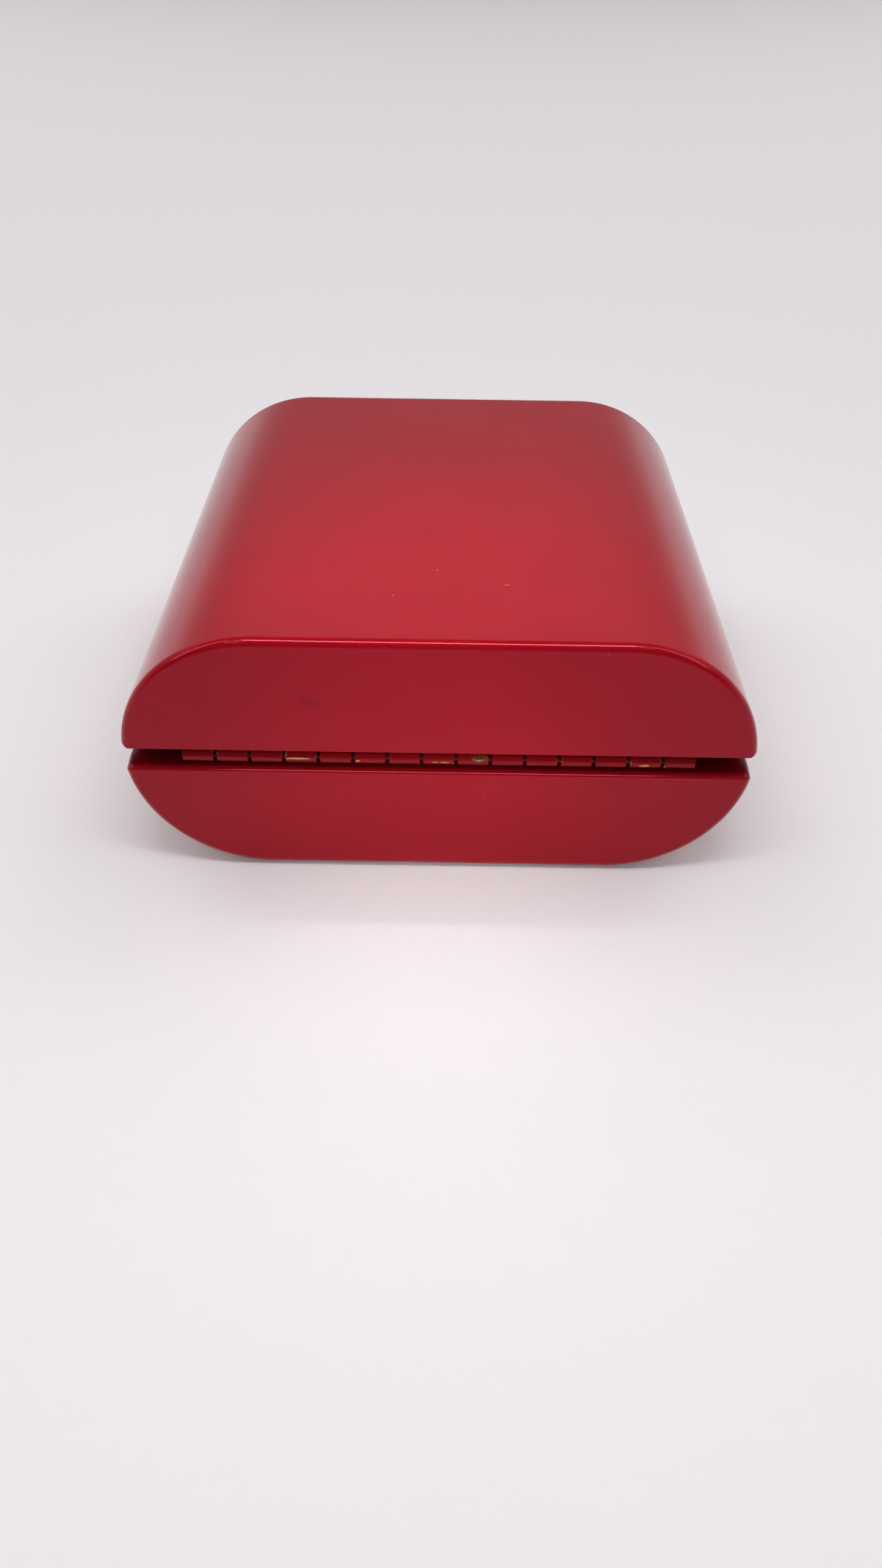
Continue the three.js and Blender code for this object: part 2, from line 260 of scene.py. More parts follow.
def resize_about_origin(piece, factor):
    edit_all(piece)
    bpy.ops.transform.resize(value=(factor, factor, factor), center_override=(0, 0, 0))
    leave_edit()


def join_flat_faces(piece):
    """Make one face of those that lie in a plane."""
    edit_all(piece)
    bpy.ops.mesh.dissolve_limited(angle_limit=math.radians(IN_PLANE))
    leave_edit()


def merge_piece(piece):
    """Join the points that lie on each other."""
    edit_all(piece)
    merge_points()
    leave_edit()


def copy_of(piece, name, step):
    make_active(piece)
    bpy.ops.object.duplicate(linked=False)
    twin = bpy.context.object
    twin.name = name
    shift(twin, step)
    return twin


def apply_modifier(piece, kind, **values):
    make_active(piece)
    modifier = piece.modifiers.new(kind.lower(), kind)
    for key, value in values.items():
        setattr(modifier, key, value)
    bpy.ops.object.modifier_apply(modifier=modifier.name)


def cut(piece, cutter):
    apply_modifier(piece, "BOOLEAN", operation="DIFFERENCE", solver="EXACT", object=cutter)
    bpy.data.objects.remove(cutter)


def soften(piece, width, steps=EDGE_STEPS, sharp=SHARP):
    """A small round on every sharp edge."""
    limit = math.radians(sharp)
    apply_modifier(piece, "BEVEL", width=width, segments=steps, limit_method="ANGLE", angle_limit=limit)


def shade(piece):
    """Smooth shading, with flat faces kept flat."""
    make_active(piece)
    bpy.ops.object.shade_smooth_by_angle(angle=math.radians(SMOOTH))
    apply_modifier(piece, "WEIGHTED_NORMAL", keep_sharp=True, weight=NORMAL_WEIGHT)


def post(name, place, radius, length, up, steps=DISC_STEPS):
    """A round post that stands on a place: a start for discs and pins, and a cutter for holes."""
    bpy.ops.object.select_all(action="DESELECT")
    bpy.ops.mesh.primitive_cylinder_add(vertices=steps, radius=radius, depth=length)
    piece = bpy.context.object
    piece.name = name
    shift(piece, Vector(place) + Vector((0, 0, up * length / 2)))
    return piece


def round_post_rims(piece, middle, half_length):
    """Round both rims of a post that was just made, and stay in edit mode."""
    edit_all(piece)
    pick_edges(lambda co: abs(abs(co.z - middle) - half_length) < ON_LINE)
    bpy.ops.mesh.bevel(offset=POST_RIM_ROUND, segments=POST_RIM_STEPS, affect="EDGES")


def finished(piece, body, nodes):
    """Hide the model's nodes that a piece stands for, and attach it to what it moves with."""
    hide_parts(*nodes)
    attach(piece, body)
    return piece


# Wooden halves. up is +1 for the lid and -1 for the base, which is the same form turned over.

def level(up, height):
    """The z of a height above (lid) or below (base) the seam."""
    return SEAM + up * height


def side_round(side, up, degrees):
    """A full-round side: from the crown down at +X, from the rim up at -X."""
    sweep((side * FLAT_HALF, FRONT, level(up, RIM)), (0, up, 0), degrees, SIDE_STEPS)


def rim_round(side, up, degrees):
    centre = (side * (FLAT_HALF + SIDE_REACH), FRONT, level(up, RIM + RIM_ROUND))
    sweep(centre, (0, up, 0), degrees, ROUND_STEPS)


def half_loaf(name, up):
    """A solid half of the loaf with its rounded rim and end faces."""
    lean = math.degrees(math.atan2(RIM_ROUND, SIDE_REACH))
    piece = start_point(name, (-FLAT_HALF, FRONT, level(up, RIM + SIDE_RADIUS)))
    draw(x=2 * FLAT_HALF)
    side_round(1, up, 90 - lean)
    rim_round(1, up, 90 + lean)
    draw(x=-2 * (FLAT_HALF + SIDE_REACH))
    rim_round(-1, up, 90 + lean)
    side_round(-1, up, 90 - lean)
    fill_outline()
    draw(y=BACK - FRONT)
    close_solid()
    for end in (FRONT, BACK):
        pick_edges(lambda co, end=end: abs(co.y - end) < ON_LINE)
        bpy.ops.mesh.bevel(offset=EDGE_ROUND, segments=ROUND_STEPS, affect="EDGES", clamp_overlap=False)
    leave_edit()
    return piece


def half_slab(name, up, radius, front, back, rim_overrun=0.0):
    """A plain slice of a half: a cutter that hollows it out, or a lining for its ends."""
    piece = start_point(name, (-FLAT_HALF, FRONT, level(up, RIM + radius)))
    draw(x=2 * FLAT_HALF)
    side_round(1, up, 90)
    if rim_overrun:
        draw(z=-up * rim_overrun)
    draw(x=-2 * (FLAT_HALF + radius))
    if rim_overrun:
        draw(z=up * rim_overrun)
    side_round(-1, up, 90)
    fill_outline()
    draw(y=back - front)
    close_solid()
    bpy.ops.transform.translate(value=(0, front - FRONT, 0))
    leave_edit()
    return piece


def rebate(up):
    """A cutter for the hinge's seat and the groove that opens from it to the back face."""
    turn = 90 - math.degrees(math.atan(GROOVE_SLOPE))
    ease = GROOVE_EASE * math.tan(math.radians(turn / 2))
    half = lid_high.x + PAST
    mouth = GROOVE_MOUTH / 2
    piece = start_point("rebate", (-half, BACK + PAST, level(up, -PAST)))
    draw(z=up * (PAST + mouth + ease))
    draw(y=-PAST)
    sweep((-half, BACK - GROOVE_EASE, level(up, mouth + ease)), (-up, 0, 0), turn, ROUND_STEPS)
    tip = picked_point()
    draw(y=SEAT_EDGE - tip.y, z=level(up, LEAF_SEAT) - tip.z)
    draw(y=REBATE_WALL - SEAT_EDGE)
    draw(z=-up * (PAST + LEAF_SEAT))
    fill_outline()
    draw(x=2 * half)
    close_solid()
    leave_edit()
    return piece


def rebate_edge(up, side):
    """A cutter that rounds the outer edge of the rebate where it runs out at a side."""
    corner = LID_CORNER if up > 0 else BASE_CORNER
    rise = LEAF_SEAT + corner - RIM
    reach = math.sqrt((SIDE_RADIUS - corner) ** 2 - rise**2)
    lean = math.degrees(math.atan2(rise, reach))
    middle = side * (FLAT_HALF + reach)
    piece = start_point("rebate_edge", (middle, REBATE_WALL, level(up, LEAF_SEAT - PAST)))
    draw(z=up * PAST)
    centre = (middle, REBATE_WALL, level(up, LEAF_SEAT + corner))
    sweep(centre, (0, -side * up, 0), 90 + lean, ROUND_STEPS)
    tip = picked_point()
    draw(x=side * (lid_high.x + PAST) - tip.x)
    draw(z=level(up, LEAF_SEAT - PAST) - tip.z)
    fill_outline()
    draw(y=SEAT_EDGE - REBATE_WALL)
    run = BACK + PAST - SEAT_EDGE
    draw(y=run, z=up * GROOVE_SLOPE * run)
    close_solid()
    leave_edit()
    return piece


def felt_slab(name, low, high, grow):
    """A flat slab with rounded corners, of the felt's size or grown by a margin."""
    width = felt_high.x - felt_low.x + 2 * grow
    length = felt_high.y - felt_low.y + 2 * grow
    piece = flat_sheet(name, width, length, (0, (felt_low.y + felt_high.y) / 2, low))
    bpy.ops.mesh.bevel(offset=FELT_CORNER + grow, segments=ROUND_STEPS, affect="VERTICES")
    bpy.ops.mesh.select_all(action="SELECT")
    draw(z=high - low)
    close_solid()
    leave_edit()
    return piece


def screw_places(half):
    return [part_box(f"hinge_{half}_screw_{i + 1}") for i in range(SCREWS_IN_LEAF)]


def magnet_places(half):
    return [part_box(f"{half}_magnet_{i + 1}") for i in range(MAGNETS_IN_RIM)]


def wooden_half(name, half, up):
    """A half of the box under one coat of lacquer: shell and end panels, with their joints filled."""
    piece = half_loaf(name, up)
    cut(piece, half_slab("hollow", up, CAVITY_RADIUS, CAVITY_FRONT, CAVITY_BACK, PAST))
    cut(piece, rebate(up))
    for side in (-1, 1):
        cut(piece, rebate_edge(up, side))
    for low, high in magnet_places(half):
        middle = (low + high) / 2
        depth = high.z - low.z + 2 * MAGNET_CLEARANCE + PAST
        foot = (middle.x, middle.y, level(up, RIM - PAST))
        cut(piece, post("magnet_hole", foot, (high.x - low.x) / 2 + MAGNET_CLEARANCE, depth, up))
    if up < 0:
        cut(piece, felt_slab("felt_recess", -PAST, felt_high.z + GLUE_GAP, GLUE_GAP))
    soften(piece, EDGE_SOFTNESS)
    for low, high in screw_places(half):
        middle = (low + high) / 2
        foot = (middle.x, middle.y, level(up, LEAF_SEAT - PAST))
        depth = high.z - low.z + PAST
        cut(piece, post("screw_hole", foot, SCREW_SHANK_RADIUS + SCREW_CLEARANCE, depth, up, HOLE_STEPS))
    shade(piece)
    return piece


lid_wood = wooden_half("lid_lacquer", "lid", 1)
base_wood = wooden_half("base_lacquer", "base", -1)
finished(lid_wood, "lid", ["lid_crown", "lid_front_panel", "lid_back_panel"])
finished(base_wood, "base", ["base_trough", "base_front_panel", "base_back_panel"])


# Hinge

def hinge_leaf(name, half, up, first):
    """One strip of brass, notched and rolled into every second knuckle, with countersunk holes."""
    starts = [index * KNUCKLE_PITCH - HINGE_HALF for index in range(first, KNUCKLE_COUNT, 2)]
    knuckles = [(start, start + KNUCKLE_PITCH - KNUCKLE_GAP) for start in starts]

    def where_knuckles_join(co):
        within = any(low - ON_LINE < co.x < high + ON_LINE for low, high in knuckles)
        return within and abs(co.y - SEAT_EDGE) < ON_LINE

    middle = (0, (SEAT_EDGE + LEAF_EDGE) / 2, level(up, KNUCKLE_RADIUS))
    piece = flat_sheet(name, 2 * HINGE_HALF, SEAT_EDGE - LEAF_EDGE, middle)
    for knuckle in knuckles:
        for x in knuckle:
            if abs(x) < HINGE_HALF - ON_LINE:
                bpy.ops.mesh.select_all(action="SELECT")
                bpy.ops.mesh.bisect(plane_co=(x, 0, 0), plane_no=(1, 0, 0))
    merge_points()
    pick_edges(where_knuckles_join)
    draw(y=PIN_Y - SEAT_EDGE)
    sweep((0, PIN_Y, SEAM), (-up, 0, 0), CURL, CURL_STEPS)
    merge_points()
    turn_outwards(up, lambda co: -co.y)
    leave_edit()
    apply_modifier(piece, "SOLIDIFY", thickness=LEAF_THICKNESS, offset=-1, use_even_offset=True)
    soften(piece, LEAF_SOFTNESS, FINE_EDGE_STEPS)
    for low, high in screw_places(half):
        cut(piece, countersink(low, high, up))
    shade(piece)
    return piece


def turn_solid(middle):
    """Spin a drawn outline into a solid round an upright axis."""
    bpy.ops.mesh.select_all(action="SELECT")
    sweep((middle.x, middle.y, 0), (0, 0, 1), 360, SCREW_STEPS)
    close_solid()
    leave_edit()


def countersink(low, high, up):
    """A cutter for a screw's countersunk hole through a leaf."""
    middle = (low + high) / 2
    head = (high.x - low.x) / 2 + SCREW_HEAD_CLEARANCE
    piece = start_point("countersink", (middle.x, middle.y, level(up, LEAF_FACE - PAST)))
    draw(x=head)
    draw(z=up * PAST)
    draw(x=SCREW_SHANK_RADIUS - head, z=up * COUNTERSINK_DEPTH)
    draw(z=up * PAST)
    draw(x=-SCREW_SHANK_RADIUS)
    turn_solid(middle)
    return piece


def wood_screw(name, low, high, up):
    """A countersunk slotted screw with ring-shaped ridges, its head flush with the leaf."""
    middle = (low + high) / 2
    head = (high.x - low.x) / 2
    threaded = high.z - low.z - SCREW_HEAD_DEPTH - SCREW_NECK - SCREW_TIP
    ridges = int(threaded / THREAD_PITCH)
    piece = start_point(name, (middle.x, middle.y, level(up, LEAF_FACE)))
    draw(x=head)
    draw(z=up * SCREW_HEAD_LAND)
    draw(x=SCREW_SHANK_RADIUS - head, z=up * (SCREW_HEAD_DEPTH - SCREW_HEAD_LAND))
    draw(z=up * SCREW_NECK)
    for _ in range(ridges):
        draw(x=-THREAD_DEPTH, z=up * THREAD_PITCH / 2)
        draw(x=THREAD_DEPTH, z=up * THREAD_PITCH / 2)
    draw(x=-THREAD_DEPTH, z=up * (threaded - ridges * THREAD_PITCH))
    draw(x=THREAD_DEPTH - SCREW_SHANK_RADIUS, z=up * SCREW_TIP)
    turn_solid(middle)
    join_flat_faces(piece)
    soften(piece, SCREW_HEAD_SOFTNESS, EDGE_STEPS, SHARP_ON_SCREWS)
    cut(piece, screw_slot(middle, up))
    merge_piece(piece)
    shade(piece)
    return piece


def screw_slot(middle, up):
    """A cutter for the slot in a screw's head."""
    bpy.ops.object.select_all(action="DESELECT")
    bpy.ops.mesh.primitive_cube_add(size=1)
    piece = bpy.context.object
    edit_all(piece)
    bpy.ops.transform.resize(value=(SCREW_SLOT_LENGTH, SCREW_SLOT_WIDTH, 2 * SCREW_SLOT_DEPTH))
    bpy.ops.transform.translate(value=(middle.x, middle.y, level(up, LEAF_FACE)))
    leave_edit()
    return piece


def hinge_pin():
    """The pin, with its ends rounded over."""
    radius = (pin_high.z - pin_low.z) / 2
    piece = post("hinge_rod", (0, 0, -pin_high.x), radius, 2 * pin_high.x, 1)
    round_post_rims(piece, 0, pin_high.x)
    bpy.ops.mesh.select_all(action="SELECT")
    bpy.ops.transform.rotate(value=math.radians(90), orient_axis="Y", center_override=(0, 0, 0))
    bpy.ops.transform.translate(value=(0, PIN_Y, SEAM))
    leave_edit()
    shade(piece)
    return piece


lid_leaf = finished(hinge_leaf("lid_strip", "lid", 1, 1), "lid", ["hinge_lid_leaf"])
base_leaf = finished(hinge_leaf("base_strip", "base", -1, 0), "base", ["hinge_base_leaf"])
pin = finished(hinge_pin(), "base", ["hinge_pin"])
screws = []
for half, up in (("lid", 1), ("base", -1)):
    places = screw_places(half)
    first_low = places[0][0]
    first_screw = wood_screw(f"{half}_screw_1", *places[0], up)
    for number, (low, high) in enumerate(places, 1):
        name = f"{half}_screw_{number}"
        screw = first_screw if number == 1 else copy_of(first_screw, name, low - first_low)
        screws.append(finished(screw, half, [f"hinge_{name}"]))


# Catch

def disc_magnet(name, low, high):
    """A plated disc with rounded rims."""
    middle = (low + high) / 2
    thickness = high.z - low.z
    piece = post(name, (middle.x, middle.y, low.z), (high.x - low.x) / 2, thickness, 1)
    round_post_rims(piece, middle.z, thickness / 2)
    leave_edit()
    shade(piece)
    return piece


magnets = []
first_low, first_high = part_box("lid_magnet_1")
first_magnet = disc_magnet("lid_disc_1", first_low, first_high)
for half in ("lid", "base"):
    for number, (low, high) in enumerate(magnet_places(half), 1):
        name = f"{half}_disc_{number}"
        magnet = first_magnet if name == "lid_disc_1" else copy_of(first_magnet, name, low - first_low)
        magnets.append(finished(magnet, half, [f"{half}_magnet_{number}"]))


# Linings

def bent_lining(name, up, front, back):
    """Velvet on a sheet bent round the inside of a half, from rim to rim."""
    piece = start_point(name, (-FLAT_HALF - LINING_RADIUS, FRONT, level(up, RIM)))
    side_round(-1, up, 90)
    draw(x=2 * FLAT_HALF)
    side_round(1, up, 90)
    merge_points()
    draw(y=back - front)
    bpy.ops.mesh.select_all(action="SELECT")
    bpy.ops.transform.translate(value=(0, front - FRONT, 0))
    turn_outwards(up, lambda co: up * co.z)
    leave_edit()
    apply_modifier(piece, "SOLIDIFY", thickness=LINING_THICKNESS, offset=-1, use_even_offset=True)
    soften(piece, LINING_EDGE, FINE_EDGE_STEPS, SHARP_ON_CLOTH)
    shade(piece)
    return piece


def end_lining(name, up, front, back):
    """Velvet on a flat sheet against an end panel."""
    piece = half_slab(name, up, LINING_RADIUS, front, back)
    soften(piece, LINING_EDGE, FINE_EDGE_STEPS, SHARP_ON_CLOTH)
    shade(piece)
    return piece


linings = []
for half, up, wood in (("lid", 1, lid_wood), ("base", -1, base_wood)):
    low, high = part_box(f"{half}_lining")
    bent = bent_lining(f"{half}_velvet", up, low.y, high.y)
    linings.append(finished(bent, half, [f"{half}_lining"]))
    for end in ("front", "back"):
        low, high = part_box(f"{half}_lining_{end}")
        flat = end_lining(f"{half}_velvet_{end}", up, low.y, high.y)
        linings.append(finished(flat, half, [f"{half}_lining_{end}"]))


# Cushions and felt

SIM_SCALE = 10  # cloth behaves at this scale as on a cushion of ordinary size
VOXEL = 12 * MM
MOST_SWELL = 9 * MM
SIM_FRAMES = 20
CLOTH_QUALITY = 6
CLOTH_MASS = 0.3
CUSHION_PRESSURE = 4
GLUED_FACING = 0.5  # least part of a point's normal towards the lining where it is held


def cushion(name, node, up):
    """A velvet cushion, swollen by a cloth simulation with its back held to the lining."""
    piece = bpy.data.objects.new(name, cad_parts[node].data.copy())
    bpy.context.scene.collection.objects.link(piece)
    resize_about_origin(piece, SIM_SCALE)
    merge_piece(piece)
    piece.data.remesh_voxel_size = VOXEL
    bpy.ops.object.voxel_remesh()
    swell(piece, up)
    resize_about_origin(piece, 1 / SIM_SCALE)
    apply_modifier(piece, "SUBSURF", levels=1, render_levels=1)
    make_active(piece)
    bpy.ops.object.shade_smooth()
    return piece


def swell(piece, up):
    """Blow a cushion up under pressure, no point further than the most allowed."""
    glued = piece.vertex_groups.new(name="glued")
    held = [v.index for v in piece.data.vertices if v.normal.z * up > GLUED_FACING]
    glued.add(held, 1.0, "REPLACE")
    before = [v.co.copy() for v in piece.data.vertices]
    make_active(piece)
    cloth = piece.modifiers.new("cloth", "CLOTH")
    cloth.settings.quality = CLOTH_QUALITY
    cloth.settings.mass = CLOTH_MASS
    cloth.settings.use_pressure = True
    cloth.settings.uniform_pressure_force = CUSHION_PRESSURE
    cloth.settings.vertex_group_mass = glued.name
    cloth.settings.effector_weights.gravity = 0
    cloth.point_cache.frame_start = 1
    cloth.point_cache.frame_end = SIM_FRAMES
    for number in range(1, SIM_FRAMES + 1):
        bpy.context.scene.frame_set(number)
    bpy.ops.object.modifier_apply(modifier=cloth.name)
    bpy.context.scene.frame_set(1)
    for vertex, start in zip(piece.data.vertices, before):
        step = vertex.co - start
        if step.length > MOST_SWELL:
            vertex.co = start + step * (MOST_SWELL / step.length)


cushions = []
for half, up in (("lid", 1), ("base", -1)):
    pad = finished(cushion(f"{half}_cushion", f"{half}_pad", up), half, [f"{half}_pad"])
    cushions.append(pad)

felt = felt_slab("underside_felt", felt_low.z, felt_high.z, 0)
soften(felt, FELT_EDGE, EDGE_STEPS, SHARP_ON_CLOTH)
shade(felt)
finished(felt, "base", ["base_felt"])


# Materials

SPOT_CORE = 0.35  # share of a mark's reach that is marked in full


class Finish:
    """A material with one shader, and the nodes that feed it."""

    def __init__(self, name, **values):
        self.material = bpy.data.materials.new(name)
        self.material.use_nodes = True
        self.tree = self.material.node_tree
        self.shader = self.tree.nodes["Principled BSDF"]
        for socket, value in values.items():
            self.set(socket.replace("_", " "), value)
        self.place = self.node("TexCoord").outputs["Object"]

    def set(self, socket, value):
        """One value all over the surface."""
        self.shader.inputs[socket].default_value = value

    def feed(self, socket, source):
        self.tree.links.new(source, self.shader.inputs[socket])

    def node(self, kind, inputs=None, **settings):
        """A node with its settings, and its inputs given as values or as other nodes' outputs."""
        made = self.tree.nodes.new("ShaderNode" + kind)
        for key, value in settings.items():
            setattr(made, key, value)
        for key, value in (inputs or {}).items():
            if isinstance(value, bpy.types.NodeSocket):
                self.tree.links.new(value, made.inputs[key])
            else:
                made.inputs[key].default_value = value
        return made

    def noise(self, scale, detail=2.0, roughness=0.5, place=None):
        values = {"Vector": place or self.place, "Scale": scale, "Detail": detail, "Roughness": roughness}
        return self.node("TexNoise", values).outputs["Fac"]

    def fit(self, value, low, high, to_low=0.0, to_high=1.0, smooth=False):
        """Bring a range of a value to another range, clamped."""
        inputs = {"Value": value, "From Min": low, "From Max": high, "To Min": to_low, "To Max": to_high}
        kind = "SMOOTHSTEP" if smooth else "LINEAR"
        return self.node("MapRange", inputs, interpolation_type=kind).outputs["Result"]

    def math(self, operation, a, b=0.0):
        return self.node("Math", {0: a, 1: b}, operation=operation).outputs["Value"]

    def times(self, a, b):
        return self.math("MULTIPLY", a, b)

    def vector(self, operation, a, b, out="Vector"):
        return self.node("VectorMath", {0: a, 1: b}, operation=operation).outputs[out]

    def mix(self, share, a, b):
        """Blend two colours."""
        made = self.node("Mix", {"Factor": share}, data_type="RGBA")
        for socket, value in ((made.inputs[6], a), (made.inputs[7], b)):
            if isinstance(value, bpy.types.NodeSocket):
                self.tree.links.new(value, socket)
            else:
                socket.default_value = (*value, 1)
        return made.outputs[2]

    def bump(self, height, strength, distance):
        inputs = {"Height": height, "Strength": strength, "Distance": distance}
        self.feed("Normal", self.node("Bump", inputs).outputs["Normal"])

    def spots(self, places, reach):
        """1 at each of the places (in millimetres), falling to 0 at the reach (half-sizes in millimetres)."""
        share = 0.0
        for place in places:
            centre = tuple(c * MM for c in place)
            away = self.vector("SUBTRACT", self.place, centre)
            away = self.vector("DIVIDE", away, tuple(r * MM for r in reach))
            length = self.vector("LENGTH", away, (0, 0, 0), "Value")
            near = self.fit(length, 1.0, SPOT_CORE, smooth=True)
            share = self.math("MAXIMUM", near, share)
        return share


# Marks on the lacquer, in millimetres: the places of each kind, and its half-sizes
EDGE_SCUFFS = (
    (35.0, 53.6, 50.7), (33.6, 53.6, 50.9), (32.4, 53.5, 51.1),
    (-35.0, 53.6, 50.8), (-33.6, 53.5, 51.0),
)
EDGE_SCUFF_REACH = (1.3, 0.5, 0.2)
EDGE_NICKS = ((14.7, 53.3, 51.2), (0.6, 53.3, 51.2), (-3.2, 53.3, 51.2), (-14.6, 53.4, 51.2))
EDGE_NICK_REACH = (0.6, 0.35, 0.25)
CROWN_PITS = ((0.8, 29.7, 51.4), (8.4, 38.8, 51.4))
CROWN_PIT_REACH = (0.22, 0.20, 0.20)
CROWN_SCRATCHES = ((-11.7, 34.6, 51.4),)
CROWN_SCRATCH_REACH = (0.75, 0.16, 0.25)
BACK_PITS = ((9.2, 54.0, 50.5), (-28.0, 54.0, 49.9), (2.2, 54.0, 21.8), (-8.6, 54.0, 17.9))
BACK_PIT_REACH = (0.24, 0.2, 0.16)
BACK_SMUDGES = ((23.2, 54.0, 39.4), (21.9, 54.0, 38.8))
BACK_SMUDGE_REACH = (1.8, 1.0, 1.1)

# Painted shade in the hinge's groove: where the lacquer's colour is darkened to stand in for the shade under
# the lid
GROOVE_FADE = 0.5 * MM
GROOVE_SHADE_FROM = BACK + 0.6 * MM
GROOVE_SHADE_DEEPEST = BACK - 1.6 * MM
GROOVE_WALL_FADE = 0.4 * MM

LACQUER_DEEP = (0.285, 0.0022, 0.0074)
LACQUER_BRIGHT = (0.318, 0.0028, 0.0088)
LACQUER_SMUDGED = (0.14, 0.0012, 0.0035)
# painted shade: the colour the lacquer is darkened to inside the hinge's groove
LACQUER_GROOVE_SHADE = (0.105, 0.0015, 0.0035)
# pale marks: worn lacquer at the scuffs and dust nibs, and a painted glint in the pits
LACQUER_PALE_WEAR_AND_GLINT = (0.85, 0.36, 0.36)
LACQUER_GLOSS = (1.0, 0.22, 0.33, 1)


def dust_nibs(finish):
    """Specks of dust under the coat, in some of the cells only."""
    dust = finish.node("TexVoronoi", {"Vector": finish.place, "Scale": 95.0})
    chosen = finish.fit(dust.outputs["Color"], 0.62, 0.66)
    nibs = finish.fit(dust.outputs["Distance"], 0.02, 0.006, smooth=True)
    return finish.times(nibs, chosen)


def pits_with_painted_glints(finish):
    """Pits and a scratch on the crown, and fainter pits on the back: dents in the bump, whose pale colour is
    a painted glint.
    """
    pits = finish.spots(CROWN_PITS, CROWN_PIT_REACH)
    pits = finish.math("MAXIMUM", pits, finish.spots(CROWN_SCRATCHES, CROWN_SCRATCH_REACH))
    faint = finish.times(finish.spots(BACK_PITS, BACK_PIT_REACH), 0.5)
    return finish.math("MAXIMUM", pits, faint)


def painted_groove_shade(finish):
    """Share of painted shade on the lacquer: rising into the groove that the lid shades, faint on the back
    face along its mouth, and none past the rebate's wall.
    """
    split = finish.node("SeparateXYZ", {"Vector": finish.place})
    from_seam = finish.math("ABSOLUTE", finish.math("SUBTRACT", split.outputs["Z"], SEAM))
    near_seam = finish.fit(from_seam, GROOVE_MOUTH / 2 + GROOVE_FADE, GROOVE_MOUTH / 2, smooth=True)
    inwards = finish.fit(split.outputs["Y"], GROOVE_SHADE_FROM, GROOVE_SHADE_DEEPEST)
    behind_wall = finish.fit(split.outputs["Y"], REBATE_WALL - GROOVE_WALL_FADE, REBATE_WALL)
    return finish.times(finish.times(inwards, near_seam), behind_wall)


def red_lacquer():
    """Deep gloss red over smooth wood: slow mottling, dust under the coat, nicks along the hinge side, pits
    with a painted glint, and painted shade in the hinge's groove.
    """
    finish = Finish("red_lacquer", Roughness=0.12)
    finish.set("Specular IOR Level", 0.66)
    finish.set("Specular Tint", LACQUER_GLOSS)
    grain = finish.fit(finish.noise(scale=5200.0, roughness=0.6), 0.5, 0.62)
    scuffed = finish.times(finish.spots(EDGE_SCUFFS, EDGE_SCUFF_REACH), grain)
    nicked = finish.times(finish.spots(EDGE_NICKS, EDGE_NICK_REACH), grain)
    smudged = finish.times(finish.spots(BACK_SMUDGES, BACK_SMUDGE_REACH), 0.35)
    pits = pits_with_painted_glints(finish)
    nibs = dust_nibs(finish)

    cloudy = finish.fit(finish.noise(scale=34.0, detail=3.0), 0.3, 0.7)
    red = finish.mix(cloudy, LACQUER_DEEP, LACQUER_BRIGHT)
    red = finish.mix(smudged, red, LACQUER_SMUDGED)
    # painted shade: the lacquer darkened inside the hinge's groove, standing in for the shade under the lid
    red = finish.mix(painted_groove_shade(finish), red, LACQUER_GROOVE_SHADE)
    # pale marks: scuffs and dust nibs as wear, and a painted glint on the pits
    pale_wear_and_glints = finish.math("MAXIMUM", finish.times(scuffed, 0.2), finish.times(pits, 0.35))
    pale_wear_and_glints = finish.math("MAXIMUM", pale_wear_and_glints, finish.times(nibs, 0.1))
    finish.feed("Base Color", finish.mix(pale_wear_and_glints, red, LACQUER_PALE_WEAR_AND_GLINT))

    orange_peel = finish.times(finish.noise(scale=420.0, detail=1.0), 0.06)
    height = finish.math("ADD", orange_peel, finish.times(nibs, 0.5))
    height = finish.math("ADD", height, finish.times(scuffed, 0.3))
    height = finish.math("SUBTRACT", height, finish.times(nicked, 0.4))
    height = finish.math("SUBTRACT", height, pits)
    finish.bump(height, strength=0.5, distance=0.08 * MM)
    return finish.material


# Worn places on the knuckles, in millimetres: centre and half-sizes
BRASS_PLACES = (
    ((25.1, 53.2, 26.1), (4.4, 1.0, 0.34)),
    ((14.6, 53.2, 25.8), (0.7, 1.0, 0.35)),
    ((-0.45, 53.2, 25.75), (3.0, 1.0, 0.20)),
    ((-7.25, 53.2, 26.6), (2.2, 1.0, 0.70)),
    ((-37.0, 53.2, 25.6), (1.4, 1.0, 0.50)),
)

PAINT_DEEP = (0.17, 0.0014, 0.0035)
PAINT_BRIGHT = (0.24, 0.002, 0.005)
PAINT_GLOSS = (1.0, 0.3, 0.36, 1)
WORN_BRASS_DULL = (0.50, 0.33, 0.10)
WORN_BRASS_BRIGHT = (0.68, 0.50, 0.20)


def chipped_ends(finish):
    """Chips in the paint near both ends of each knuckle."""
    split = finish.node("SeparateXYZ", {"Vector": finish.place})
    along = finish.math("ADD", split.outputs["X"], HINGE_HALF)
    along = finish.math("FRACT", finish.math("DIVIDE", along, KNUCKLE_PITCH))
    middle = (1 - KNUCKLE_GAP / KNUCKLE_PITCH) / 2
    from_middle = finish.math("ABSOLUTE", finish.math("SUBTRACT", along, middle))
    at_ends = finish.fit(from_middle, middle - 0.05, middle - 0.01)
    on_knuckles = finish.fit(split.outputs["Y"], SEAT_EDGE, PIN_Y)
    chips = finish.fit(finish.noise(scale=900.0, detail=3.0, roughness=0.6), 0.60, 0.64)
    return finish.times(chips, finish.times(at_ends, on_knuckles))


